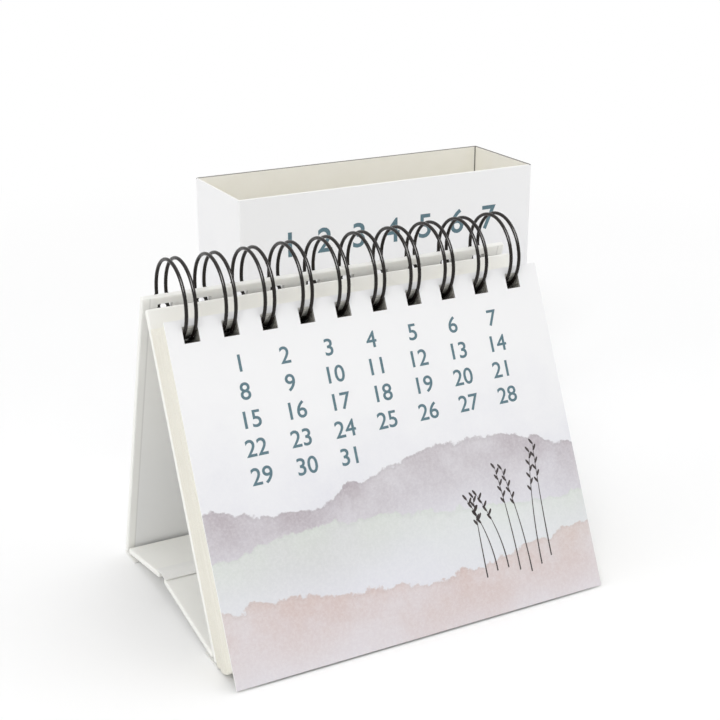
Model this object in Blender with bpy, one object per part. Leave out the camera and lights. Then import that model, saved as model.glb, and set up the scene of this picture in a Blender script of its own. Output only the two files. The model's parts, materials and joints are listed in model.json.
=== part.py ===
import math

import bmesh
import bpy
import numpy as np
from mathutils import Matrix, Vector

# All sizes are in millimetres and all angles in degrees; the mesh is written in metres.
MM = 0.001

# Leaves
WIDTH = 132.0
LEAN = 25.0
COVER_HEIGHT = 110.0
COVER_THICK = 0.45
LEAF_HEIGHT = 103.6
SECTIONS = 12
SECTION_GAP = 0.26
STACK_DEPTH = 13.45
FLOOR_GAP = 0.4

# Holes and binding wire
LOOPS = 10
PITCH = 12.7
LOOP_SHIFT = -1.2
HOLE = 5.0
HOLE_MARGIN = 4.8
WIRE_DIAMETER = 1.15
RING_RADIUS = 12.6
RING_Y = 56.3
RING_Z = 103.4
TWIN_SPACING = 3.1
SPINE_ANGLE = -10.0
SPINE_CORNER = 1.2
TIP_GAP = 1.7
HANG = 1.2
LOOP_POINTS = 24

# Easel boards and base
BOARD_THICK = 2.1
BOARD_GAP = 0.25
BOARD_SOFT = 0.45
FRONT_MARGIN = 9.2
REAR_LEAN = 17.3
REAR_OFFSET = 7.8
REAR_MARGIN = 5.05
PANEL_THICK = 2.0
FRONT_FOLD_Y = 19.1
REAR_FOLD_Y = 95.1
FOLD_Z = 2.8
CREASE_Y = 62.0
CREASE_Z = 8.9
CREASE_SLOT = 5.2
FOLD_SLOT = 0.4
STRIP_THICK = 0.3
STRIP_LAP = 1.6
STRIP_GAP = 0.3
FOOT_FRONT = (14.6, 25.0)
FOOT_REAR = (88.6, 98.6)

# Slipcase
CASE_LEFT = 6.6
CASE_FRONT = 159.0
CASE_WIDTH = 136.0
CASE_DEPTH = 44.2
CASE_HEIGHT = 104.0
CASE_WALL = 0.9
CASE_FIT = 0.3

SIN = math.sin(math.radians(LEAN))
COS = math.cos(math.radians(LEAN))
REAR_SIN = math.sin(math.radians(REAR_LEAN))
REAR_COS = math.cos(math.radians(REAR_LEAN))
HALF = WIDTH / 2
BOARD_REST = STRIP_THICK + STRIP_GAP

# The ring's centre measured across the leaves (n) and up along them (v).
RING_N = RING_Y * COS - RING_Z * SIN
RING_V = RING_Y * SIN + RING_Z * COS


def clear_scene():
    for obj in list(bpy.data.objects):
        bpy.data.objects.remove(obj, do_unlink=True)


def paint(name, colour, rough, metal=0.0):
    material = bpy.data.materials.new(name)
    material.use_nodes = True
    shader = material.node_tree.nodes["Principled BSDF"]
    shader.inputs["Base Color"].default_value = (*colour, 1.0)
    shader.inputs["Roughness"].default_value = rough
    shader.inputs["Metallic"].default_value = metal
    return material


def box_mesh(name, spans):
    """A mesh of one or more boxes, each given as three (low, high) pairs."""
    shape = bmesh.new()
    for span in spans:
        low, high = (Vector(ends) * MM for ends in zip(*span))
        size = Matrix.Diagonal((*(high - low), 1.0))
        bmesh.ops.create_cube(shape, size=1.0, matrix=Matrix.Translation((low + high) / 2) @ size)
    mesh = bpy.data.meshes.new(name)
    shape.to_mesh(mesh)
    shape.free()
    return mesh


def prism_mesh(name, outline):
    """A mesh of one outline, given as depth and height, drawn across the calendar's width."""
    shape = bmesh.new()
    left, right = ([shape.verts.new(Vector((x, y, z)) * MM) for y, z in outline] for x in (-HALF, HALF))
    shape.faces.new(left[::-1])
    shape.faces.new(right)
    for k in range(len(outline)):
        shape.faces.new((left[k - 1], left[k], right[k], right[k - 1]))
    bmesh.ops.recalc_face_normals(shape, faces=shape.faces)
    data = bpy.data.meshes.new(name)
    shape.to_mesh(data)
    shape.free()
    return data


def place(name, data, y, z, turn, frame, material=None):
    """Puts an object at (0, y, z) in the calendar's frame, turned about X."""
    obj = bpy.data.objects.new(name, data)
    bpy.context.scene.collection.objects.link(obj)
    obj.parent = frame
    obj.location = (0.0, y * MM, z * MM)
    obj.rotation_euler = (math.radians(turn), 0.0, 0.0)
    if material:
        data.materials.append(material)
    return obj


def soften(obj, width):
    edge = obj.modifiers.new("soft_edges", "BEVEL")
    edge.width = width * MM
    edge.segments = 2
    edge.limit_method = "ANGLE"


def cut(obj, cutter):
    cutter.hide_render = True
    cutter.display_type = "WIRE"
    boolean = obj.modifiers.new("cut", "BOOLEAN")
    boolean.operation = "DIFFERENCE"
    boolean.solver = "EXACT"
    boolean.object = cutter


def loop_centres():
    return [LOOP_SHIFT + (i - (LOOPS - 1) / 2) * PITCH for i in range(LOOPS)]


def punch(obj, depth, height, frame):
    """Cuts the row of square holes: depth is the (front, back) span, height the row's centre."""
    spans = []
    for x in loop_centres():
        across = (x - HOLE / 2, x + HOLE / 2)
        spans.append((across, (depth[0] - 1.0, depth[1] + 1.0), (height - HOLE / 2, height + HOLE / 2)))
    data = box_mesh(obj.name + "_holes", spans)
    cutter = place(obj.name + "_holes", data, 0.0, 0.0, 0.0, frame)
    cutter.location = obj.location
    cutter.rotation_euler = obj.rotation_euler
    cut(obj, cutter)


def ring_height(n):
    """Height along the leaves at which the ring's lower arc crosses depth n."""
    return RING_V - math.sqrt(RING_RADIUS ** 2 - (n - RING_N) ** 2)


def ring_drop(depth):
    """How far under its axis the ring passes through a board, midway between the board's faces."""
    near, far = (math.sqrt(RING_RADIUS ** 2 - face ** 2) for face in depth)
    return (near + far) / 2


def standing(n_back):
    """Height along the leaves of a foot whose back corner clears the floor."""
    return (FLOOR_GAP + n_back * SIN) / COS


def leaf(name, front, thick, foot, height, hole, frame, material):
    """A leaf or section with its origin on the ring's axis."""
    depth = (front - RING_N, front + thick - RING_N)
    rise = (foot - RING_V, foot + height - RING_V)
    data = box_mesh(name, [((-HALF, HALF), depth, rise)])
    obj = place(name, data, RING_Y, RING_Z, -LEAN, frame, material)
    punch(obj, depth, hole - RING_V, frame)


def build_leaves(frame):
    card = paint("cover_card", (0.78, 0.76, 0.80), 0.55)
    cover_foot = standing(COVER_THICK)
    cover_hole = ring_height(COVER_THICK / 2) - HANG
    leaf("front_cover", 0.0, COVER_THICK, cover_foot, COVER_HEIGHT, cover_hole, frame, card)
    start = COVER_THICK + SECTION_GAP
    pitch = (STACK_DEPTH - start + SECTION_GAP) / SECTIONS
    for k in range(SECTIONS):
        front = start + k * pitch
        thick = pitch - SECTION_GAP
        hung = ring_height(front + thick / 2) - HANG - (LEAF_HEIGHT - HOLE_MARGIN)
        foot = max(hung, standing(front + thick))
        tint = 0.90 - 0.004 * k
        paper = paint(f"month_paper_{k + 1:02d}", (tint, tint * 0.97, tint * 0.88), 0.7)
        hole = foot + LEAF_HEIGHT - HOLE_MARGIN
        leaf(f"month_{k + 1:02d}", front, thick, foot, LEAF_HEIGHT, hole, frame, paper)


def build_front_board(frame):
    front = STACK_DEPTH + BOARD_GAP - RING_N
    depth = (front, front + BOARD_THICK)
    back = STACK_DEPTH + BOARD_GAP + BOARD_THICK
    foot = (BOARD_REST + back * SIN) / COS
    hole = -ring_drop(depth)
    data = box_mesh("front_board", [((-HALF, HALF), depth, (foot - RING_V, hole + FRONT_MARGIN))])
    wrap = paint("front_board_wrap", (0.86, 0.85, 0.83), 0.6)
    obj = place("front_board", data, RING_Y, RING_Z, -LEAN, frame, wrap)
    soften(obj, BOARD_SOFT)
    punch(obj, depth, hole, frame)


def build_rear_board(frame):
    depth = (REAR_OFFSET, REAR_OFFSET + BOARD_THICK)
    foot = (RING_Z - BOARD_REST + REAR_OFFSET * REAR_SIN) / REAR_COS
    hole = -ring_drop(depth)
    data = box_mesh("rear_board", [((-HALF, HALF), depth, (-foot, hole + REAR_MARGIN))])
    wrap = paint("rear_board_wrap", (0.85, 0.84, 0.82), 0.6)
    obj = place("rear_board", data, RING_Y, RING_Z, REAR_LEAN, frame, wrap)
    soften(obj, BOARD_SOFT)
    punch(obj, depth, hole, frame)


def build_base(frame):
    """Two panels that fold up at the crease, each with its origin on its own fold."""
    rise = CREASE_Z - FOLD_Z
    front_run = CREASE_Y - FRONT_FOLD_Y
    rear_run = REAR_FOLD_Y - CREASE_Y
    front_reach = math.hypot(front_run, rise)
    rear_reach = math.hypot(rear_run, rise)
    front_slope = math.degrees(math.atan2(rise, front_run))
    rear_slope = math.degrees(math.atan2(rise, rear_run))
    slot = CREASE_SLOT / 2

    along = (FOLD_SLOT, front_reach - slot)
    data = box_mesh("base_front_panel", [((-HALF, HALF), along, (-PANEL_THICK, 0.0))])
    wrap = paint("base_front_wrap", (0.85, 0.84, 0.82), 0.6)
    obj = place("base_front_panel", data, FRONT_FOLD_Y, FOLD_Z, front_slope, frame, wrap)
    soften(obj, BOARD_SOFT)

    along = (slot - rear_reach, -FOLD_SLOT)
    data = box_mesh("base_rear_panel", [((-HALF, HALF), along, (-PANEL_THICK, 0.0))])
    wrap = paint("base_rear_wrap", (0.85, 0.84, 0.82), 0.6)
    obj = place("base_rear_panel", data, REAR_FOLD_Y, FOLD_Z, -rear_slope, frame, wrap)
    soften(obj, BOARD_SOFT)

    build_crease(frame, slot + STRIP_LAP, math.radians(front_slope), math.radians(rear_slope))


def build_crease(frame, lap, front_slope, rear_slope):
    """Covering paper bent over the crease, so that it follows both panels."""
    outline = []
    for lift, order in ((STRIP_GAP, 1), (STRIP_GAP + STRIP_THICK, -1)):
        front = (-lap * math.cos(front_slope) - lift * math.sin(front_slope),
                 -lap * math.sin(front_slope) + lift * math.cos(front_slope))
        rear = (lap * math.cos(rear_slope) + lift * math.sin(rear_slope),
                -lap * math.sin(rear_slope) + lift * math.cos(rear_slope))
        outline += [front, (0.0, lift), rear][::order]
    data = prism_mesh("base_crease_strip", outline)
    paper = paint("crease_paper", (0.87, 0.86, 0.84), 0.65)
    place("base_crease_strip", data, CREASE_Y, CREASE_Z, 0.0, frame, paper)


def build_feet(frame):
    for name, span in (("front_foot_hinge", FOOT_FRONT), ("rear_foot_hinge", FOOT_REAR)):
        data = box_mesh(name, [((-HALF, HALF), span, (0.0, STRIP_THICK))])
        place(name, data, 0.0, 0.0, 0.0, frame, paint(name + "_paper", (0.84, 0.83, 0.81), 0.65))


def bend(centre, start, stop, radius, steps):
    """Points of an arc on the unrolled ring, angles in degrees."""
    angles = np.radians(np.linspace(start, stop, steps + 1))
    return np.column_stack((centre[0] + radius * np.cos(angles), centre[1] + radius * np.sin(angles)))


def wire_path():
    """The wire's centreline on the unrolled ring: across the loops, and round the ring."""
    half = TWIN_SPACING / 2
    root = RING_RADIUS * math.radians(SPINE_ANGLE)
    tip = root + 2 * math.pi * RING_RADIUS - TIP_GAP
    rise = np.linspace(root + SPINE_CORNER, tip - half, LOOP_POINTS + 1)
    runs = []
    for x in loop_centres():
        left, right = x - half, x + half
        runs.append(bend((left - SPINE_CORNER, root + SPINE_CORNER), -90, 0, SPINE_CORNER, 3)[:-1])
        runs.append(np.column_stack((np.full_like(rise, left), rise))[:-1])
        runs.append(bend((x, tip - half), 180, 0, half, 6)[:-1])
        runs.append(np.column_stack((np.full_like(rise, right), rise[::-1]))[:-1])
        runs.append(bend((right + SPINE_CORNER, root + SPINE_CORNER), 180, 270, SPINE_CORNER, 3))
    flat = np.concatenate(runs)
    angle = flat[:, 1] / RING_RADIUS
    return np.column_stack((flat[:, 0], RING_RADIUS * np.cos(angle), RING_RADIUS * np.sin(angle)))


def least_gap(points):
    """The least clear distance between parts of the wire that aren't next to each other along it."""
    steps = np.linalg.norm(np.diff(points, axis=0), axis=1)
    fine = np.concatenate([np.linspace(a, b, 5)[:-1] for a, b in zip(points[:-1], points[1:])])
    along = np.concatenate([np.linspace(0, s, 5)[:-1] for s in steps])
    along += np.repeat(np.concatenate(([0.0], np.cumsum(steps)[:-1])), 4)
    least = np.inf
    for i in range(len(fine)):
        apart = along - along[i] > 3 * TWIN_SPACING
        if apart.any():
            least = min(least, np.linalg.norm(fine[apart] - fine[i], axis=1).min())
    return least - WIRE_DIAMETER


def build_wire(frame):
    points = wire_path()
    curve = bpy.data.curves.new("binding_wire", "CURVE")
    curve.dimensions = "3D"
    curve.bevel_depth = WIRE_DIAMETER / 2 * MM
    curve.bevel_resolution = 1
    curve.use_fill_caps = True
    spline = curve.splines.new("POLY")
    spline.points.add(len(points) - 1)
    for point, place_at in zip(spline.points, points * MM):
        point.co = (*place_at, 1.0)
    black = paint("wire_black", (0.03, 0.03, 0.035), 0.35, 0.6)
    place("binding_wire", curve, RING_Y, RING_Z, 0.0, frame, black)
    print(f"binding_wire: least gap to itself {least_gap(points):.2f} mm")


def build_slipcase(frame):
    right = CASE_LEFT + CASE_WIDTH
    back = CASE_FRONT + CASE_DEPTH
    inside = ((CASE_LEFT + CASE_WALL, right - CASE_WALL), (CASE_FRONT + CASE_WALL, back - CASE_WALL))
    data = box_mesh("slipcase_sleeve", [((CASE_LEFT, right), (CASE_FRONT, back), (0.0, CASE_HEIGHT))])
    card = paint("slipcase_card", (0.88, 0.88, 0.87), 0.6)
    sleeve = place("slipcase_sleeve", data, 0.0, 0.0, 0.0, frame, card)
    hollow = box_mesh("slipcase_hollow", [(*inside, (-1.0, CASE_HEIGHT + 1.0))])
    cut(sleeve, place("slipcase_hollow", hollow, 0.0, 0.0, 0.0, frame))

    floor = [(low + CASE_FIT, high - CASE_FIT) for low, high in inside]
    data = box_mesh("slipcase_base", [(*floor, (0.0, CASE_WALL))])
    place("slipcase_base", data, 0.0, 0.0, 0.0, frame, paint("slipcase_floor", (0.86, 0.84, 0.79), 0.65))


def build_frame():
    """The parent of every piece, which puts the set's footprint centre at the origin."""
    frame = bpy.data.objects.new("calendar_frame", None)
    bpy.context.scene.collection.objects.link(frame)
    left, right = -HALF, CASE_LEFT + CASE_WIDTH
    front = standing(COVER_THICK) * SIN
    back = CASE_FRONT + CASE_DEPTH
    frame.location = (-(left + right) / 2 * MM, -(front + back) / 2 * MM, 0.0)
    return frame


def main():
    clear_scene()
    frame = build_frame()
    build_leaves(frame)
    build_front_board(frame)
    build_rear_board(frame)
    build_base(frame)
    build_feet(frame)
    build_wire(frame)
    build_slipcase(frame)


main()
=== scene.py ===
import json
import math

import bpy
import numpy as np
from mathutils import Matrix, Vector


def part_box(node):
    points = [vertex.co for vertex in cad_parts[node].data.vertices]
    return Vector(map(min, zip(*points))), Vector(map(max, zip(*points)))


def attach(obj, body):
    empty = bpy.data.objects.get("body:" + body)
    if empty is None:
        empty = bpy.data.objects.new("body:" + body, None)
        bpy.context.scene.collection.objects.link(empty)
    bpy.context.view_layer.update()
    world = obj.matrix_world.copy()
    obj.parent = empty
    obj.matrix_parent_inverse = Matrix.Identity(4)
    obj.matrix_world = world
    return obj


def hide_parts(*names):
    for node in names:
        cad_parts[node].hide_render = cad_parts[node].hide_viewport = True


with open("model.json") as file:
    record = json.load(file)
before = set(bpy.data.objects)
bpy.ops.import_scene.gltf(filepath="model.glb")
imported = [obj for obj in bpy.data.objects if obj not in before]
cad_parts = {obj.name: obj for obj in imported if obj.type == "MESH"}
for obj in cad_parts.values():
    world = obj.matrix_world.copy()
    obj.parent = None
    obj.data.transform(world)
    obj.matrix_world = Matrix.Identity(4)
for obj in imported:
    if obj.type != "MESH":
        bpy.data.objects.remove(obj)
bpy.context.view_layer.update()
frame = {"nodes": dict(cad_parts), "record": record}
nodes = frame["nodes"]
joints = {joint["name"]: joint for joint in frame["record"]["behaviour"]["joints"]}
mm = 0.001
ring = np.array(joints["leaf_turn"]["pos_m"])

# Sizes of the CAD that the frame's boxes don't give, in degrees and millimetres
bookSize = {
    "lean": 25.0,
    "rearLean": 17.3,
    "loops": 10,
    "pitch": 12.7,
    "shift": -1.2,
    "hole": 5.0,
    "holeReach": 64.0,
}
lean = math.radians(bookSize["lean"])
rearLean = math.radians(bookSize["rearLean"])
loopSteps = np.arange(bookSize["loops"]) - (bookSize["loops"] - 1) / 2
loopCentres = loopSteps * bookSize["pitch"] + bookSize["shift"]
holeHalf = bookSize["hole"] / 2


# Page coordinates are millimetres from the ring's axis: across, back through the leaves, up along them.
# Turned by the lean, y is back times its cosine plus up times its sine, and z is up times its cosine
# less back times its sine.
def pagePoints(points):
    across, back, up = np.asarray(points, float).T
    y = back * math.cos(lean) + up * math.sin(lean)
    z = up * math.cos(lean) - back * math.sin(lean)
    return ring + np.column_stack((across, y, z)) * mm


# Front, back, foot and top of a CAD leaf in page coordinates, from its own corners
def leafSpan(node):
    points = np.empty(len(nodes[node].data.vertices) * 3)
    nodes[node].data.vertices.foreach_get("co", points)
    offset = (points.reshape(-1, 3) - ring) / mm
    up = offset[:, 1] * math.sin(lean) + offset[:, 2] * math.cos(lean)
    back = offset[:, 1] * math.cos(lean) - offset[:, 2] * math.sin(lean)
    return back.min(), back.max(), up.min(), up.max()


def meshPiece(name, points, faces, material, smooth=False):
    mesh = bpy.data.meshes.new(name)
    mesh.from_pydata(points, [], faces)
    mesh.polygons.foreach_set("use_smooth", np.full(len(mesh.polygons), smooth))
    mesh.materials.append(material)
    mesh.update()
    obj = bpy.data.objects.new(name, mesh)
    bpy.context.scene.collection.objects.link(obj)
    return obj


def seat(obj, body, slot, *replaced):
    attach(obj, body)
    if replaced:
        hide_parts(*replaced)


# Node helpers
def make(tree, kind, inputs=None, **settings):
    node = tree.nodes.new(kind)
    for key, value in settings.items():
        setattr(node, key, value)
    for key, value in (inputs or {}).items():
        if isinstance(value, bpy.types.NodeSocket):
            tree.links.new(value, node.inputs[key])
        else:
            node.inputs[key].default_value = value
    return node


def calc(tree, operation, first, second=0.0, third=0.0):
    inputs = {0: first, 1: second, 2: third}
    return make(tree, "ShaderNodeMath", inputs, operation=operation).outputs[0]


def ramp(tree, value, low, high, start=0.0, stop=1.0):
    inputs = {"Value": value, "From Min": low, "From Max": high, "To Min": start, "To Max": stop}
    return make(tree, "ShaderNodeMapRange", inputs, interpolation_type="SMOOTHSTEP").outputs["Result"]


def mix(tree, amount, first, second, blend="MIX"):
    node = make(tree, "ShaderNodeMix", data_type="RGBA", blend_type=blend)
    for index, value in ((0, amount), (6, first), (7, second)):
        if isinstance(value, bpy.types.NodeSocket):
            tree.links.new(value, node.inputs[index])
        else:
            node.inputs[index].default_value = value if index == 0 else (*value, 1.0)
    return node.outputs[2]


def noise(tree, vector, scale, detail=4.0, rough=0.55):
    inputs = {"Vector": vector, "Scale": scale, "Detail": detail, "Roughness": rough}
    return make(tree, "ShaderNodeTexNoise", inputs).outputs["Fac"]


def newGroup(name, sockets):
    tree = bpy.data.node_groups.new(name, "ShaderNodeTree")
    for label, kind, way in sockets:
        tree.interface.new_socket(label, in_out=way, socket_type="NodeSocket" + kind)
    source = tree.nodes.new("NodeGroupInput")
    target = tree.nodes.new("NodeGroupOutput")
    return tree, source.outputs, target.inputs


def useGroup(tree, group, inputs):
    return make(tree, "ShaderNodeGroup", inputs, node_tree=group).outputs


# Noise is given as scale, detail and roughness, and a range as the ramp's two ends, then its two results.
toothLook = {
    "fibre": (2.4, 6.0, 0.65),
    "cloud": (0.09, 3.0),
    "cloudShare": 0.6,
    "rise": 0.06,
    "mottleRange": (0.35, 0.65),
}


# Paper tooth: a faint fibre mottle and its bump, in millimetres
def paperToothGroup():
    sockets = (("Vector", "Vector", "INPUT"), ("Depth", "Float", "INPUT"))
    sockets += (("Mottle", "Float", "OUTPUT"), ("Normal", "Vector", "OUTPUT"))
    tree, given, out = newGroup("paperTooth", sockets)
    fibre = noise(tree, given["Vector"], *toothLook["fibre"])
    cloud = noise(tree, given["Vector"], *toothLook["cloud"])
    share = toothLook["cloudShare"]
    both = calc(tree, "MULTIPLY_ADD", cloud, share, calc(tree, "MULTIPLY", fibre, 1.0 - share))
    inputs = {"Strength": given["Depth"], "Distance": toothLook["rise"] * mm, "Height": fibre}
    bump = make(tree, "ShaderNodeBump", inputs)
    tree.links.new(both, out["Mottle"])
    tree.links.new(bump.outputs["Normal"], out["Normal"])
    return tree


washLook = {
    "ragged": (0.11, 8.0, 0.62),
    "raggedRise": 13.0,
    "edgeRange": (0.0, 0.9),
    "bloom": (0.055, 5.0, 0.6),
    "bloomRange": (0.3, 0.75, 0.45, 1.0),
    "rimRange": (0.2, 2.2, 1.0, 0.0),
}


# One wash of watercolour: everything under a wavy line, darker along its drying edge
def washGroup():
    sockets = (("Vector", "Vector", "INPUT"), ("Height", "Float", "INPUT"), ("Swell", "Float", "INPUT"))
    sockets += (("Wave", "Float", "INPUT"), ("Phase", "Float", "INPUT"), ("Fade", "Float", "INPUT"))
    sockets += (("Mask", "Float", "OUTPUT"), ("Rim", "Float", "OUTPUT"))
    tree, given, out = newGroup("wash", sockets)
    split = make(tree, "ShaderNodeSeparateXYZ", {"Vector": given["Vector"]}).outputs
    angle = calc(tree, "ADD", calc(tree, "DIVIDE", split["X"], given["Wave"]), given["Phase"])
    line = calc(tree, "MULTIPLY_ADD", calc(tree, "SINE", angle), given["Swell"], given["Height"])
    ragged = calc(tree, "SUBTRACT", noise(tree, given["Vector"], *washLook["ragged"]), 0.5)
    line = calc(tree, "MULTIPLY_ADD", ragged, washLook["raggedRise"], line)
    under = calc(tree, "SUBTRACT", line, split["Z"])
    inside = ramp(tree, under, *washLook["edgeRange"])
    thin = ramp(tree, under, 0.0, given["Fade"], 1.0, 0.0)
    bloom = ramp(tree, noise(tree, given["Vector"], *washLook["bloom"]), *washLook["bloomRange"])
    body = calc(tree, "MULTIPLY", inside, calc(tree, "MULTIPLY", thin, bloom))
    rim = calc(tree, "MULTIPLY", inside, ramp(tree, under, *washLook["rimRange"]))
    tree.links.new(body, out["Mask"])
    tree.links.new(rim, out["Rim"])
    return tree


toothGroup = paperToothGroup()
wash = washGroup()


# Paper and ink have a low sheen, so their specular level starts under the usual one.
def startMaterial(name, rough, shine=0.25):
    material = bpy.data.materials.new(name)
    material.use_nodes = True
    tree = material.node_tree
    shader = tree.nodes["Principled BSDF"]
    shader.inputs["Roughness"].default_value = rough
    shader.inputs["Specular IOR Level"].default_value = shine
    return material, tree, shader


def pageVector(tree):
    coords = make(tree, "ShaderNodeTexCoord").outputs["Object"]
    inputs = {"Vector": coords, "Location": tuple(ring), "Rotation": (-lean, 0.0, 0.0), "Scale": (mm, mm, mm)}
    return make(tree, "ShaderNodeMapping", inputs, vector_type="TEXTURE").outputs["Vector"]


def plainVector(tree):
    coords = make(tree, "ShaderNodeTexCoord").outputs["Object"]
    inputs = {"Vector": coords, "Scale": (1.0 / mm, 1.0 / mm, 1.0 / mm)}
    return make(tree, "ShaderNodeMapping", inputs).outputs["Vector"]


# One inside the band of the punched holes, clear of the sheet's outer edges
def holeRow(tree, across, up, low, high):
    level = calc(tree, "MULTIPLY", calc(tree, "GREATER_THAN", up, low), calc(tree, "LESS_THAN", up, high))
    near = calc(tree, "LESS_THAN", calc(tree, "ABSOLUTE", across), bookSize["holeReach"])
    return calc(tree, "MULTIPLY", level, near)


# How far the surface faces a given way, from the piece's own normals
def facing(tree, way):
    normal = make(tree, "ShaderNodeTexCoord").outputs["Normal"]
    node = make(tree, "ShaderNodeVectorMath", {0: normal, 1: way}, operation="DOT_PRODUCT")
    return node.outputs["Value"]


# Wrapped board: mottled paper, and inside a greyer liner, its grey partly painted shade, darker at the foot
# as painted shade and paler at the top as painted light, the wrap turned in beside it
def wrapMaterial(name, look):
    material, tree, shader = startMaterial(name, look["rough"])
    place = pageVector(tree)
    tooth = useGroup(tree, toothGroup, {"Vector": place, "Depth": look["tooth"]})
    tone = mix(tree, ramp(tree, tooth["Mottle"], *toothLook["mottleRange"]), look["dark"], look["light"])
    if "shadedLiner" in look:
        split = make(tree, "ShaderNodeSeparateXYZ", {"Vector": place}).outputs
        across = calc(tree, "ABSOLUTE", split["X"])
        way = facing(tree, look["innerWay"])
        inward = ramp(tree, way, *look["inwardRange"])
        edge, soft = look["linerEdge"], look["edgeSoft"]
        inside = calc(tree, "MULTIPLY", inward, ramp(tree, across, edge - soft, edge + soft, 1.0, 0.0))
        # Painted light: the liner fades into the paler wrap towards its top, where the gap by the rings lies
        # in shade.
        inside = calc(tree, "MULTIPLY", inside, ramp(tree, split["Z"], *look["paintedTopLight"], 1.0, 0.0))
        # Painted shade: the liner darkens towards the board's foot.
        low = mix(tree, ramp(tree, split["Z"], *look["footShade"]), look["linerFootShade"], look["shadedLiner"])
        tone = mix(tree, inside, tone, low)
        beside = calc(tree, "ABSOLUTE", calc(tree, "SUBTRACT", across, edge))
        near = ramp(tree, beside, *look["seamRange"])
        tone = mix(tree, calc(tree, "MULTIPLY", inward, near), tone, look["seam"])
        # Painted shade: the walls of the board's punched holes are dark.
        walls = ramp(tree, calc(tree, "ABSOLUTE", way), *look["wallRange"])
        row = holeRow(tree, split["X"], split["Z"], *look["holeBand"])
        tone = mix(tree, calc(tree, "MULTIPLY", walls, row), tone, look["hole"])
    tree.links.new(tone, shader.inputs["Base Color"])
    tree.links.new(tooth["Normal"], shader.inputs["Normal"])
    return material


# Studio: camera at the photograph's angle, white floor that fades into a white room, soft light
studioLook = {
    "camera": {"spot": (-0.2349, -0.4223, 0.2327), "tilt": 69.5, "turn": -28.1, "lens": 69.25, "film": 36.0},
    "room": 0.75,
    "floor": (0.93, 0.93, 0.93),
    "floorLift": 0.02,
    "floorGrain": (4.0, 2.0),
    "floorRough": 0.85,
    "floorReach": 6.0,
    "floorDrop": 0.0002,
    "fade": (0.22, 0.55),
    "lampAim": (0.0, 0.0, 0.05),
    "lamps": (
        {"name": "keyPanel", "spot": (-0.75, -0.75, 1.0), "size": 0.32, "power": 2.2},
        {"name": "topPanel", "spot": (0.15, 0.1, 1.2), "size": 1.2, "power": 3.6},
        {"name": "fillPanel", "spot": (0.9, -0.7, 0.6), "size": 1.0, "power": 1.4},
        {"name": "sidePanel", "spot": (-0.9, 0.05, 0.4), "size": 0.7, "power": 0.8},
        {"name": "glintPanel", "spot": (-0.6, -0.75, 1.15), "size": 0.9, "power": 56.0, "glossOnly": True},
    ),
}


# One where the camera, a reflection or a clear surface looks straight at the backdrop
def seenDirectly(tree):
    path = make(tree, "ShaderNodeLightPath").outputs
    most = calc(tree, "MAXIMUM", path["Is Camera Ray"], path["Is Glossy Ray"])
    return calc(tree, "MAXIMUM", most, path["Is Transmission Ray"])


def floorMaterial():
    material, tree, shader = startMaterial("floorPaper", studioLook["floorRough"])
    place = make(tree, "ShaderNodeTexCoord").outputs["Object"]
    soft = noise(tree, place, *studioLook["floorGrain"])
    pale = studioLook["floor"]
    lighter = tuple(value + studioLook["floorLift"] for value in pale)
    tree.links.new(mix(tree, soft, pale, lighter), shader.inputs["Base Color"])
    away = make(tree, "ShaderNodeVectorMath", {0: place}, operation="LENGTH").outputs["Value"]
    fade = calc(tree, "MULTIPLY", ramp(tree, away, *studioLook["fade"]), seenDirectly(tree))
    white = make(tree, "ShaderNodeEmission").outputs["Emission"]
    both = make(tree, "ShaderNodeMixShader", {0: fade, 1: shader.outputs["BSDF"], 2: white})
    tree.links.new(both.outputs["Shader"], tree.nodes["Material Output"].inputs["Surface"])
    return material


def buildStudio():
    scene = bpy.context.scene
    scene.view_settings.view_transform = "Standard"
    view = studioLook["camera"]
    lens = bpy.data.cameras.new("photoCamera")
    lens.lens = view["lens"]
    lens.sensor_width = view["film"]
    camera = bpy.data.objects.new("photoCamera", lens)
    camera.location = view["spot"]
    camera.rotation_euler = (math.radians(view["tilt"]), 0.0, math.radians(view["turn"]))
    scene.collection.objects.link(camera)
    scene.camera = camera

    world = bpy.data.worlds.new("softRoom")
    world.use_nodes = True
    tree = world.node_tree
    shade = tree.nodes["Background"]
    shade.inputs["Color"].default_value = (1.0, 1.0, 1.0, 1.0)
    seen = seenDirectly(tree)
    tree.links.new(ramp(tree, seen, 0.0, 1.0, studioLook["room"], 1.0), shade.inputs["Strength"])
    scene.world = world

    for lamp in studioLook["lamps"]:
        light = bpy.data.lights.new(lamp["name"], "AREA")
        light.size = lamp["size"]
        light.energy = lamp["power"]
        obj = bpy.data.objects.new(lamp["name"], light)
        obj.location = lamp["spot"]
        aim = np.array(studioLook["lampAim"]) - np.array(lamp["spot"])
        flat = math.hypot(aim[0], aim[1])
        obj.rotation_euler = (math.atan2(flat, -aim[2]), 0.0, math.atan2(aim[1], aim[0]) - math.pi / 2)
        obj.visible_diffuse = not lamp.get("glossOnly", False)
        scene.collection.objects.link(obj)

    reach, level = studioLook["floorReach"], -studioLook["floorDrop"]
    corners = [(-reach, -reach, level), (reach, -reach, level), (reach, reach, level), (-reach, reach, level)]
    meshPiece("floor", np.array(corners), [(0, 1, 2, 3)], floorMaterial())
    print("studio built")


coverFront, _, coverFoot, _ = leafSpan("front_cover")
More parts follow.
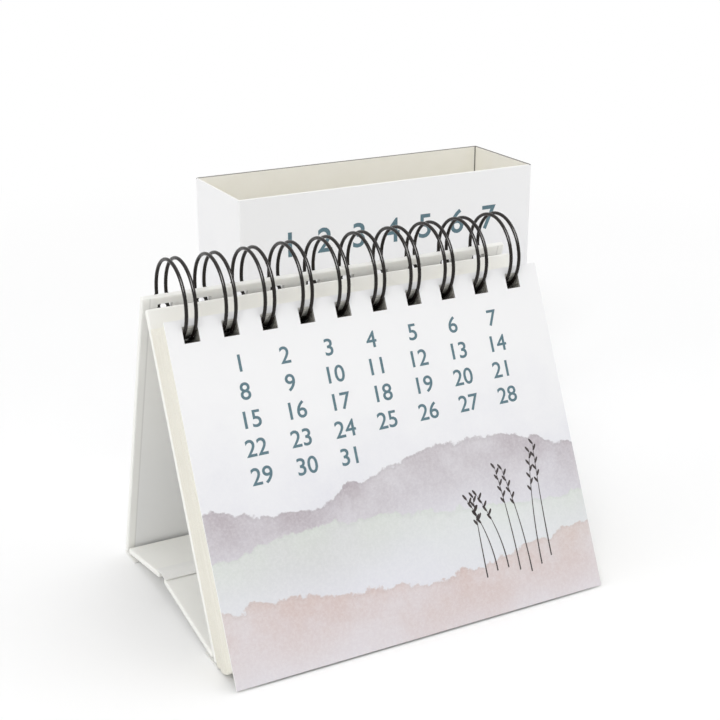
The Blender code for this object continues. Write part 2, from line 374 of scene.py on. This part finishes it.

# Cover: soft hills in wash, over card that is white at its cut edges, with painted shade on the walls of its
# punched holes
coverLook = {
    "paper": (0.72, 0.72, 0.77),
    "light": (0.86, 0.86, 0.865),
    "edge": (0.92, 0.915, 0.90),
    # Painted shade for the walls of the punched holes
    "hole": (0.20, 0.185, 0.16),
    "inkLift": 0.025,
    "hills": (
        {"height": 53.0, "swell": 5.0, "wave": 19.0, "phase": 0.4, "fade": 34.0, "tint": (0.36, 0.30, 0.33)},
        {"height": 37.0, "swell": 4.5, "wave": 27.0, "phase": 2.6, "fade": 26.0, "tint": (0.67, 0.72, 0.66)},
        {"height": 20.0, "swell": 3.5, "wave": 23.0, "phase": 4.4, "fade": 38.0, "tint": (0.58, 0.42, 0.37)},
    ),
    "stain": 0.85,
    "rimStain": 0.28,
    "rimTint": 0.72,
    "cloud": (0.045, 6.0, 0.6),
    "cloudRise": 60.0,
    "cloudFoot": 30.0,
    "cloudRange": (20.0, 95.0),
    "grain": (1.3, 5.0, 0.7),
    "grainRange": (0.35, 0.7, 0.0, 0.22),
    "frontRange": (0.4, 0.8),
    "rough": 0.5,
    "tooth": 0.12,
    "holeBand": (100.5, 109.0),
    "dayInk": (0.085, 0.155, 0.185),
    "grassInk": (0.045, 0.035, 0.035),
}


def coverMaterial():
    material, tree, shader = startMaterial("coverPrint", coverLook["rough"])
    page = pageVector(tree)
    lifted = {0: page, 1: (0.0, 0.0, -coverFoot)}
    page = make(tree, "ShaderNodeVectorMath", lifted, operation="ADD").outputs["Vector"]
    split = make(tree, "ShaderNodeSeparateXYZ", {"Vector": page}).outputs
    cloud = noise(tree, page, *coverLook["cloud"])
    above = calc(tree, "SUBTRACT", split["Z"], coverLook["cloudFoot"])
    rise = calc(tree, "MULTIPLY_ADD", cloud, coverLook["cloudRise"], above)
    tone = mix(tree, ramp(tree, rise, *coverLook["cloudRange"]), coverLook["paper"], coverLook["light"])
    for hill in coverLook["hills"]:
        inputs = {"Vector": page, "Height": hill["height"], "Swell": hill["swell"]}
        inputs.update({"Wave": hill["wave"], "Phase": hill["phase"], "Fade": hill["fade"]})
        stain = useGroup(tree, wash, inputs)
        tone = mix(tree, calc(tree, "MULTIPLY", stain["Mask"], coverLook["stain"]), tone, hill["tint"])
        darker = tuple(value * coverLook["rimTint"] for value in hill["tint"])
        tone = mix(tree, calc(tree, "MULTIPLY", stain["Rim"], coverLook["rimStain"]), tone, darker)
    grain = ramp(tree, noise(tree, page, *coverLook["grain"]), *coverLook["grainRange"])
    tone = mix(tree, grain, tone, coverLook["light"])
    # Painted shade: the side faces inside the band of punched holes are dark.
    row = holeRow(tree, split["X"], split["Z"], *coverLook["holeBand"])
    cutEdgesAndHoleShade = mix(tree, row, coverLook["edge"], coverLook["hole"])
    front = ramp(tree, facing(tree, (0.0, -math.cos(lean), math.sin(lean))), *coverLook["frontRange"])
    tone = mix(tree, front, cutEdgesAndHoleShade, tone)
    tooth = useGroup(tree, toothGroup, {"Vector": page, "Depth": coverLook["tooth"]})
    tree.links.new(tone, shader.inputs["Base Color"])
    tree.links.new(tooth["Normal"], shader.inputs["Normal"])
    return material


inkLook = {
    "rough": 0.55,
    "wear": (1.8, 5.0, 0.7),
    "wearRange": (0.3, 0.8),
    "wornGain": 1.35,
    "wornLift": 0.02,
}


def inkMaterial(name, tint):
    material, tree, shader = startMaterial(name, inkLook["rough"])
    worn = ramp(tree, noise(tree, plainVector(tree), *inkLook["wear"]), *inkLook["wearRange"])
    lighter = tuple(value * inkLook["wornGain"] + inkLook["wornLift"] for value in tint)
    tree.links.new(mix(tree, worn, tint, lighter), shader.inputs["Base Color"])
    return material


# Each outline point moves out along the sum of its two edges' outward normals, doubled and divided
# by that sum's square, so that every edge shifts by the same gain. The divisor keeps sharp corners short.
def bolder(points, faces, gain):
    corners = np.array(faces)
    count = len(points)
    start, stop = corners.ravel(), np.roll(corners, -1, axis=1).ravel()
    rim = ~np.isin(start * count + stop, stop * count + start)
    start, stop = start[rim], stop[rim]
    run = points[stop] - points[start]
    out = np.column_stack((run[:, 1], -run[:, 0])) / np.linalg.norm(run, axis=1, keepdims=True)
    total = np.zeros_like(points)
    np.add.at(total, start, out)
    np.add.at(total, stop, out)
    square = (total ** 2).sum(1, keepdims=True)
    return points + gain * 2 * total / np.maximum(square, 1.0)


# Triangles that still face up: the cross product of two of their sides is above zero.
# One that thickening has folded over lies on its neighbour, so it can go.
def unfolded(points, faces):
    corners = np.array(faces)
    first = points[corners[:, 1]] - points[corners[:, 0]]
    second = points[corners[:, 2]] - points[corners[:, 0]]
    return corners[first[:, 0] * second[:, 1] > first[:, 1] * second[:, 0]]


numeralLook = {"fontHeight": 0.7, "gain": 0.012, "curveSteps": 4}


# Numerals come from the built-in font as flat outlines, in millimetres, centred on the origin.
def numeralShape(text, height):
    curve = bpy.data.curves.new("numeral", "FONT")
    curve.body = text
    curve.align_x = "CENTER"
    curve.align_y = "CENTER"
    curve.resolution_u = numeralLook["curveSteps"]
    obj = bpy.data.objects.new("numeral", curve)
    mesh = bpy.data.meshes.new_from_object(obj)
    points = np.empty(len(mesh.vertices) * 3)
    mesh.vertices.foreach_get("co", points)
    faces = [tuple(face.vertices) for face in mesh.polygons]
    bpy.data.meshes.remove(mesh)
    bpy.data.objects.remove(obj)
    bpy.data.curves.remove(curve)
    flat = bolder(points.reshape(-1, 3)[:, :2], faces, numeralLook["gain"])
    return flat * height / numeralLook["fontHeight"], unfolded(flat, faces)


# Several flat or solid shapes as one list of points and faces, each face moved on by the points before it
def joinShapes(shapes):
    points, faces, count = [], [], 0
    for part, sides in shapes:
        points.append(part)
        faces += [tuple(index + count for index in side) for side in sides]
        count += len(part)
    return np.concatenate(points), faces


gridLook = {"height": 5.2, "columns": 7, "days": 31, "left": -45.0, "step": 15.0, "top": 94.0, "drop": 8.6}


# Plain numbers in rows of seven: a day's row and column are the whole and the rest of its division by seven
def dayGrid():
    shapes = []
    for day in range(gridLook["days"]):
        row, column = divmod(day, gridLook["columns"])
        spot = (gridLook["left"] + column * gridLook["step"], gridLook["top"] - row * gridLook["drop"])
        part, sides = numeralShape(str(day + 1), gridLook["height"])
        shapes.append((part + spot, sides))
    return joinShapes(shapes)


grassLook = {
    "draw": 11,
    "stems": 7,
    "steps": 14,
    "foot": 12.0,
    "footStray": (-2.0, 2.0),
    "left": 24.0,
    "spread": 4.2,
    "tall": (24.0, 40.0),
    "bow": (-9.0, 10.0),
    "width": 0.5,
    "taper": 0.7,
    "seeds": 7,
    "seedStart": 0.66,
    "seedTilt": 32.0,
    "seedOut": 1.0,
    "seedHalf": (1.25, 0.42),
    "seedSides": 8,
}


# Grass: each stem climbs evenly and leans by its bow times the square of the share climbed, while its
# width shrinks evenly. Each seed is an oval, its long and short halves times a cosine and a sine, tilted.
def grassStrips():
    rng = np.random.default_rng(grassLook["draw"])
    along = np.linspace(0.0, 1.0, grassLook["steps"] + 1)
    turn = np.linspace(0.0, 2 * np.pi, grassLook["seedSides"], endpoint=False)
    long, short = grassLook["seedHalf"]
    oval = np.column_stack((long * np.cos(turn) + grassLook["seedOut"], short * np.sin(turn)))
    shapes = []
    for stem in range(grassLook["stems"]):
        tall = rng.uniform(*grassLook["tall"])
        bow = rng.uniform(*grassLook["bow"])
        x = grassLook["left"] + stem * grassLook["spread"] + bow * along ** 2
        z = grassLook["foot"] + rng.uniform(*grassLook["footStray"]) + tall * along
        half = grassLook["width"] / 2 * (1.0 - grassLook["taper"] * along)
        strip = np.column_stack((np.concatenate((x - half, x + half)), np.concatenate((z, z))))
        count = len(along)
        i = np.arange(count - 1)
        shapes.append((strip, np.column_stack((i, i + count, i + count + 1, i + 1))))
        for seed in range(grassLook["seeds"]):
            share = np.interp(seed, (0, grassLook["seeds"] - 1), (grassLook["seedStart"], 1.0))
            side = 1.0 if seed % 2 else -1.0
            tilt = math.radians(90.0 - side * grassLook["seedTilt"])
            swing = np.array(((math.cos(tilt), math.sin(tilt)), (-math.sin(tilt), math.cos(tilt))))
            spot = (np.interp(share, along, x), np.interp(share, along, z))
            shapes.append((oval @ swing + spot, [tuple(range(grassLook["seedSides"]))]))
    return joinShapes(shapes)


# Flat print set just off the cover's face
def printOnCover(name, shape, material):
    flat, faces = shape
    lift = np.full(len(flat), coverFront - coverLook["inkLift"])
    points = pagePoints(np.column_stack((flat[:, 0], lift, flat[:, 1] + coverFoot)))
    seat(meshPiece(name, points, faces, material), "cover", "cover_card")


def buildCover():
    nodes["front_cover"].data.materials[0] = coverMaterial()
    printOnCover("coverDays", dayGrid(), inkMaterial("slateInk", coverLook["dayInk"]))
    printOnCover("coverGrass", grassStrips(), inkMaterial("grassInk", coverLook["grassInk"]))
    print("cover printed")


# Punched slab: a grid with the hole cells left out, walled along every edge between solid and open
def punchedSlab(across, depth, rise, hole):
    low, high = hole
    breaks = np.sort(np.concatenate((across, loopCentres - holeHalf, loopCentres + holeHalf)))
    levels = np.array((rise[0], low, high, rise[1]))
    columns, rows = len(breaks), len(levels)
    solid = np.ones((columns - 1, rows - 1), bool)
    solid[1::2, 1] = False
    d, x, z = np.meshgrid(depth, breaks, levels, indexing="ij")
    grid = np.column_stack((x.ravel(), d.ravel(), z.ravel()))
    index = np.arange(2 * columns * rows).reshape(2, columns, rows)
    i, j = np.nonzero(solid)
    front = np.column_stack((index[0, i, j], index[0, i + 1, j], index[0, i + 1, j + 1], index[0, i, j + 1]))
    back = np.column_stack((index[1, i, j], index[1, i, j + 1], index[1, i + 1, j + 1], index[1, i + 1, j]))
    ringed = np.pad(solid, 1)
    faces = [front, back]
    holed = [np.zeros(2 * len(front))]
    i, j = np.nonzero(ringed[:-1, 1:-1] != ringed[1:, 1:-1])
    wall = np.column_stack((index[0, i, j], index[0, i, j + 1], index[1, i, j + 1], index[1, i, j]))
    faces.append(np.where(ringed[:-1, 1:-1][i, j, None], wall[:, ::-1], wall))
    holed.append((i > 0) & (i < columns - 1))
    i, j = np.nonzero(ringed[1:-1, :-1] != ringed[1:-1, 1:])
    wall = np.column_stack((index[0, i, j], index[1, i, j], index[1, i + 1, j], index[0, i + 1, j]))
    faces.append(np.where(ringed[1:-1, :-1][i, j, None], wall[:, ::-1], wall))
    holed.append((j > 0) & (j < rows - 1))
    return grid, np.concatenate(faces), np.concatenate(holed)


leafLook = {
    "draw": 4,
    "months": 12,
    "leaves": 5,
    "gap": 0.03,
    "half": 65.85,
    "stray": 0.12,
    "sectionGap": 0.2,
    "footLift": 0.1,
    "holeDrop": (7.3, 2.3),
    "light": (0.90, 0.885, 0.82),
    "dark": (0.76, 0.73, 0.64),
    # Painted shade for the walls of the punched holes
    "hole": (0.20, 0.185, 0.16),
    "ink": (0.085, 0.155, 0.185),
    "rough": 0.7,
    "tooth": 0.1,
    "lineScale": (0.02, 9.0, 0.03),
    "lines": (1.0, 3.0, 0.7),
    "lineRange": (0.32, 0.68),
    "edgeRange": (0.3, 0.7),
    "print": {
        "height": 16.0,
        "spot": (0.0, 62.0),
        "reach": 34.0,
        "rules": (16.0, 22.0),
        "ruleWide": 0.35,
        "lift": 0.025,
    },
}


def leafMaterial():
    material, tree, shader = startMaterial("leafPaper", leafLook["rough"])
    page = pageVector(tree)
    inputs = {"Vector": page, "Scale": leafLook["lineScale"]}
    thin = make(tree, "ShaderNodeMapping", inputs).outputs["Vector"]
    lines = ramp(tree, noise(tree, thin, *leafLook["lines"]), *leafLook["lineRange"])
    flatwise = calc(tree, "ABSOLUTE", facing(tree, (0.0, math.cos(lean), -math.sin(lean))))
    edgewise = calc(tree, "SUBTRACT", 1.0, flatwise)
    tone = mix(tree, lines, leafLook["dark"], leafLook["light"])
    tone = mix(tree, ramp(tree, edgewise, *leafLook["edgeRange"]), leafLook["light"], tone)
    # Painted shade: the walls of the punched holes are dark.
    hole = make(tree, "ShaderNodeAttribute", attribute_name="hole").outputs["Fac"]
    tone = mix(tree, hole, tone, leafLook["hole"])
    tooth = useGroup(tree, toothGroup, {"Vector": page, "Depth": leafLook["tooth"]})
    tree.links.new(tone, shader.inputs["Base Color"])
    tree.links.new(tooth["Normal"], shader.inputs["Normal"])
    return material


# Each section's first leaf carries its own number, and a pair of thin rules under it.
def leafPrint(number):
    look = leafLook["print"]
    part, sides = numeralShape(str(number), look["height"])
    shapes = [(part + look["spot"], sides)]
    for drop in look["rules"]:
        left, right = look["spot"][0] - look["reach"], look["spot"][0] + look["reach"]
        low = look["spot"][1] - drop
        high = low + look["ruleWide"]
        corners = np.array(((left, low), (right, low), (right, high), (left, high)))
        shapes.append((corners, [(0, 1, 2, 3)]))
    return joinShapes(shapes)


def buildLeaves():
    rng = np.random.default_rng(leafLook["draw"])
    material = leafMaterial()
    ink = inkMaterial("leafInk", leafLook["ink"])
    for month in range(1, leafLook["months"] + 1):
        node = f"month_{month:02d}"
        body = f"leaves_{month:02d}"
        front, back, foot, top = leafSpan(node)
        hole = tuple(top - drop for drop in leafLook["holeDrop"])
        pitch = (back - front + leafLook["sectionGap"]) / leafLook["leaves"]
        shapes, walls = [], []
        for k in range(leafLook["leaves"]):
            start = front + k * pitch
            depth = (start, start + pitch - leafLook["gap"])
            slip, drop = rng.uniform(-leafLook["stray"], leafLook["stray"], 2)
            across = (slip - leafLook["half"], slip + leafLook["half"])
            rise = (foot + leafLook["footLift"], top + drop)
            grid, faces, holed = punchedSlab(across, depth, rise, hole)
            shapes.append((grid, faces))
            walls.append(holed)
        points, faces = joinShapes(shapes)
        piece = meshPiece(f"leaves{month:02d}", pagePoints(points), faces, material)
        # Faces on the hole walls are marked for their painted shade.
        layer = piece.data.attributes.new("hole", "FLOAT", "FACE")
        layer.data.foreach_set("value", np.concatenate(walls).astype(np.float32))
        seat(piece, body, "leaf_paper", node)
        flat, sides = leafPrint(month)
        lift = np.full(len(flat), front - leafLook["print"]["lift"])
        points = pagePoints(np.column_stack((flat[:, 0], lift, flat[:, 1] + foot)))
        seat(meshPiece(f"leafNumber{month:02d}", points, sides, ink), body, "leaf_paper")
    print("leaves built")


# Binding wire: the same unbroken route as the CAD tube, round instead of faceted
wireLook = {
    "radius": 0.575,
    "ringRadius": 12.6,
    "twin": 3.1,
    "spine": -10.0,
    "corner": 1.2,
    "tip": 1.7,
    "climbSteps": 60,
    "cornerSteps": 5,
    "tipSteps": 10,
    "sides": 12,
    "dark": (0.007, 0.005, 0.004),
    "light": (0.016, 0.012, 0.010),
    "shine": 0.25,
    "rough": (0.14, 0.24),
    "skin": (0.7, 4.0, 0.6),
    "skinRange": (0.35, 0.7),
    "sheen": (1.5, 3.0),
    "sheenRange": (0.3, 0.7),
    "pits": (3.0, 3.0),
    "pitDepth": 0.15,
    "pitRise": 0.03,
}


# An arc on the unrolled ring: across the loops, and round the ring
def arcOnRing(centre, start, stop, radius, steps):
    angles = np.radians(np.linspace(start, stop, steps + 1))
    return np.column_stack((centre[0] + radius * np.cos(angles), centre[1] + radius * np.sin(angles)))


# Each loop climbs its left wire from the spine, turns at the tip and comes down its right wire.
# The flat route is then wrapped: its second measure over the ring's radius is the angle about the axis.
def wireRoute():
    look = wireLook
    half = look["twin"] / 2
    root = look["ringRadius"] * math.radians(look["spine"])
    tip = root + 2 * math.pi * look["ringRadius"] - look["tip"]
    corner, bends = look["corner"], look["cornerSteps"]
    base = root + corner
    climb = np.linspace(base, tip - half, look["climbSteps"] + 1)
    runs = []
    for x in loopCentres:
        left, right = x - half, x + half
        runs.append(arcOnRing((left - corner, base), -90, 0, corner, bends)[:-1])
        runs.append(np.column_stack((np.full_like(climb, left), climb))[:-1])
        runs.append(arcOnRing((x, tip - half), 180, 0, half, look["tipSteps"])[:-1])
        runs.append(np.column_stack((np.full_like(climb, right), climb[::-1]))[:-1])
        runs.append(arcOnRing((right + corner, base), 180, 270, corner, bends))
    flat = np.concatenate(runs)
    angle = flat[:, 1] / look["ringRadius"]
    radial = np.column_stack((np.zeros_like(angle), np.cos(angle), np.sin(angle)))
    route = radial * look["ringRadius"]
    route[:, 0] = flat[:, 0]
    return route, radial


# A circle carried along the route, squared to the tangent and held upright by the ring's own radius
def tubeMesh(route, radial, radius, sides):
    tangent = np.gradient(route, axis=0)
    tangent /= np.linalg.norm(tangent, axis=1, keepdims=True)
    normal = radial - (radial * tangent).sum(1, keepdims=True) * tangent
    normal /= np.linalg.norm(normal, axis=1, keepdims=True)
    side = np.cross(tangent, normal)
    turn = np.linspace(0.0, 2 * np.pi, sides, endpoint=False)[None, :, None]
    points = route[:, None] + radius * (np.cos(turn) * normal[:, None] + np.sin(turn) * side[:, None])
    count = len(route)
    i, j = np.meshgrid(np.arange(count - 1), np.arange(sides), indexing="ij")
    nextSide = (j + 1) % sides
    here, there = i * sides, (i + 1) * sides
    quads = np.stack((here + j, here + nextSide, there + nextSide, there + j), -1)
    faces = quads.reshape(-1, 4).tolist()
    faces += [list(range(sides))[::-1], list(range((count - 1) * sides, count * sides))]
    return points.reshape(-1, 3), faces


def wireMaterial():
    material, tree, shader = startMaterial("wireCoat", wireLook["rough"][0], wireLook["shine"])
    place = plainVector(tree)
    skin = noise(tree, place, *wireLook["skin"])
    tone = mix(tree, ramp(tree, skin, *wireLook["skinRange"]), wireLook["dark"], wireLook["light"])
    sheen = noise(tree, place, *wireLook["sheen"])
    rough = ramp(tree, sheen, *wireLook["sheenRange"], *wireLook["rough"])
    pits = noise(tree, place, *wireLook["pits"])
    inputs = {"Strength": wireLook["pitDepth"], "Distance": wireLook["pitRise"] * mm, "Height": pits}
    bump = make(tree, "ShaderNodeBump", inputs)
    tree.links.new(tone, shader.inputs["Base Color"])
    tree.links.new(rough, shader.inputs["Roughness"])
    tree.links.new(bump.outputs["Normal"], shader.inputs["Normal"])
    return material


def buildWire():
    route, radial = wireRoute()
    points, faces = tubeMesh(route, radial, wireLook["radius"], wireLook["sides"])
    piece = meshPiece("bindingLoops", ring + points * mm, faces, wireMaterial(), smooth=True)
    seat(piece, "stand", "wire", "binding_wire")
    print("wire wound")


# Easel: card boards wrapped in off-white paper, greyer on the lined inner faces, partly as painted shade
boardLook = {"rough": 0.62, "tooth": 0.22, "light": (0.90, 0.895, 0.862), "dark": (0.885, 0.88, 0.845)}
# Painted light: the base panels are a lighter copy of the board wrap, set against the shade they sit in.
basePaintedLightLook = dict(boardLook, light=(0.93, 0.925, 0.885), dark=(0.915, 0.91, 0.87))
stripLook = {"rough": 0.66, "tooth": 0.18, "light": (0.92, 0.915, 0.89), "dark": (0.88, 0.875, 0.85)}
linerLook = {
    # The liner's grey is partly painted shade, and its foot colour is painted shade.
    "shadedLiner": (0.84, 0.84, 0.83),
    "linerFootShade": (0.70, 0.70, 0.71),
    "linerEdge": 63.4,
    "edgeSoft": 0.1,
    "inwardRange": (0.5, 0.9),
    "seamRange": (0.05, 0.4, 0.3, 0.0),
    "wallRange": (0.4, 0.8, 1.0, 0.0),
    # Painted light towards the liner's top
    "paintedTopLight": (-70.0, -12.0),
    "footShade": (-112.0, -55.0),
    "seam": (0.45, 0.44, 0.42),
    # Painted shade for the walls of the punched holes
    "hole": (0.16, 0.15, 0.14),
    "holeBand": (-16.0, -5.5),
}


def buildEasel():
    lined = dict(boardLook, **linerLook)
    frontIn = dict(lined, innerWay=(0.0, math.cos(lean), -math.sin(lean)))
    rearIn = dict(lined, innerWay=(0.0, -math.cos(rearLean), -math.sin(rearLean)))
    wraps = {
        "front_board": wrapMaterial("frontWrap", frontIn),
        "rear_board": wrapMaterial("rearWrap", rearIn),
        "base_front_panel": wrapMaterial("baseWrapPaintedLight", basePaintedLightLook),
        "base_crease_strip": wrapMaterial("creasePaper", stripLook),
    }
    wraps["base_rear_panel"] = wraps["base_front_panel"]
    wraps["front_foot_hinge"] = wraps["base_crease_strip"]
    wraps["rear_foot_hinge"] = wraps["base_crease_strip"]
    for node, material in wraps.items():
        nodes[node].data.materials[0] = material
    print("easel wrapped")


# Slipcase: folded card, white outside, cream inside set paler as painted light, its rim dark at the rear and
# right and pale elsewhere, and a painted shade line down the inside's rear right corner
caseLook = {
    "corner": 0.9,
    "innerCorner": 0.36,
    "wall": 0.9,
    "rimSoft": 0.25,
    "rimShare": 0.4,
    "steps": 5,
    "rough": 0.55,
    "tooth": 0.14,
    "drift": (0.03, 5.0),
    "driftRise": 40.0,
    "driftRange": (30.0, 120.0),
    "rimFrom": (0.1, 0.4),
    "insideFrom": (0.6, 0.9),
    "outside": ((0.78, 0.78, 0.81), (0.87, 0.87, 0.875)),
    # The cream inside is its own tone, raised as painted light against the shade within the sleeve.
    "inside": ((0.95, 0.93, 0.855), (0.97, 0.95, 0.885)),
    "rim": (0.20, 0.19, 0.18),
    "paleRim": (0.88, 0.875, 0.86),
    # Width of the painted shade line in the inside's rear right corner
    "crease": 0.4,
    "floor": ((0.85, 0.82, 0.74), (0.90, 0.88, 0.80)),
    "ink": (0.085, 0.155, 0.185),
    "inkLift": 0.03,
    "numbers": 7,
    "numeral": 10.0,
    "step": 15.5,
    "drop": 21.0,
}


# A rectangle with a quarter circle at each corner, anticlockwise from its right side
def roundedOutline(low, high, corner, steps):
    angles = np.linspace(0.0, np.pi / 2, steps + 1)
    quarter = np.column_stack((np.cos(angles), np.sin(angles))) * corner
    centres = ((high[0], high[1]), (low[0], high[1]), (low[0], low[1]), (high[0], low[1]))
    pulls = ((-1, -1), (1, -1), (1, 1), (-1, 1))
    runs = []
    for k in range(4):
        swing = np.array(((math.cos(k * math.pi / 2), math.sin(k * math.pi / 2)),
                          (-math.sin(k * math.pi / 2), math.cos(k * math.pi / 2))))
        runs.append(quarter @ swing + np.array(centres[k]) + np.array(pulls[k]) * corner)
    return np.concatenate(runs)


# Sleeve: six rounded outlines from the outer foot over the rim to the inner foot, closed in a ring
def caseShell():
    low, high = (np.array(corner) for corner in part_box("slipcase_sleeve"))
    wall, corner = caseLook["wall"] * mm, caseLook["corner"] * mm
    outer = roundedOutline(low[:2], high[:2], corner, caseLook["steps"])
    inner = roundedOutline(low[:2] + wall, high[:2] - wall, caseLook["innerCorner"] * mm, caseLook["steps"])
    soft, share = caseLook["rimSoft"] * mm, caseLook["rimShare"]
    rimOut, rimIn = outer + (inner - outer) * share, inner + (outer - inner) * share
    rings = [(outer, low[2]), (outer, high[2] - soft), (rimOut, high[2])]
    rings += [(rimIn, high[2]), (inner, high[2] - soft), (inner, low[2])]
    count = len(outer)
    points = np.concatenate([np.column_stack((flat, np.full(count, z))) for flat, z in rings])
    i, j = np.meshgrid(np.arange(len(rings)), np.arange(count), indexing="ij")
    nextRing, nextStep = (i + 1) % len(rings), (j + 1) % count
    here, there = i * count, nextRing * count
    quads = np.stack((here + j, here + nextStep, there + nextStep, there + j), -1)
    kinds = np.repeat((0.0, 0.5, 0.5, 0.5, 1.0, 0.5), count)  # outside 0, cut rim 0.5, inside 1
    return points, quads.reshape(-1, 4).tolist(), kinds


def caseMaterial():
    material, tree, shader = startMaterial("caseCard", caseLook["rough"])
    place = plainVector(tree)
    side = make(tree, "ShaderNodeAttribute", attribute_name="side").outputs["Fac"]
    tooth = useGroup(tree, toothGroup, {"Vector": place, "Depth": caseLook["tooth"]})
    split = make(tree, "ShaderNodeSeparateXYZ", {"Vector": place}).outputs
    # The outside is darker towards its foot and paler towards its top, the change wavering with a broad
    # noise.
    cloud = noise(tree, place, *caseLook["drift"])
    drift = calc(tree, "MULTIPLY_ADD", cloud, caseLook["driftRise"], split["Z"])
    outside = mix(tree, ramp(tree, drift, *caseLook["driftRange"]), *caseLook["outside"])
    inside = mix(tree, ramp(tree, tooth["Mottle"], *toothLook["mottleRange"]), *caseLook["inside"])
    reach = np.array(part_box("slipcase_sleeve")[1]) / mm - caseLook["wall"] - caseLook["crease"]
    right = calc(tree, "GREATER_THAN", split["X"], reach[0])
    rear = calc(tree, "GREATER_THAN", split["Y"], reach[1])
    rim = mix(tree, calc(tree, "MAXIMUM", right, rear), caseLook["paleRim"], caseLook["rim"])
    # Painted shade: where the right and rear masks meet, a thin dark line runs down the inside's rear right
    # corner.
    inside = mix(tree, calc(tree, "MULTIPLY", right, rear), inside, caseLook["rim"])
    tone = mix(tree, ramp(tree, side, *caseLook["rimFrom"]), outside, rim)
    tone = mix(tree, ramp(tree, side, *caseLook["insideFrom"]), tone, inside)
    tree.links.new(tone, shader.inputs["Base Color"])
    tree.links.new(tooth["Normal"], shader.inputs["Normal"])
    return material


def buildSlipcase():
    points, faces, kinds = caseShell()
    shell = meshPiece("caseShell", points, faces, caseMaterial())
    layer = shell.data.attributes.new("side", "FLOAT", "FACE")
    layer.data.foreach_set("value", kinds.astype(np.float32))
    seat(shell, "slipcase", "case_card", "slipcase_sleeve")
    dark, light = caseLook["floor"]
    floorLook = dict(boardLook, light=light, dark=dark)
    nodes["slipcase_base"].data.materials[0] = wrapMaterial("caseFloor", floorLook)

    low, high = (np.array(corner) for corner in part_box("slipcase_sleeve"))
    shapes = []
    for k in range(caseLook["numbers"]):
        part, sides = numeralShape(str(k + 1), caseLook["numeral"])
        across = (k - (caseLook["numbers"] - 1) / 2) * caseLook["step"]
        shapes.append((part + (across, 0.0), sides))
    flat, faces = joinShapes(shapes)
    points = np.column_stack((flat[:, 0], np.zeros(len(flat)), flat[:, 1])) * mm
    middle = (low[0] + high[0]) / 2
    points += (middle, low[1] - caseLook["inkLift"] * mm, high[2] - caseLook["drop"] * mm)
    piece = meshPiece("caseNumerals", points, faces, inkMaterial("caseInk", caseLook["ink"]))
    seat(piece, "slipcase", "case_card")
    print("slipcase built")


buildStudio()
buildCover()
buildLeaves()
buildWire()
buildEasel()
buildSlipcase()
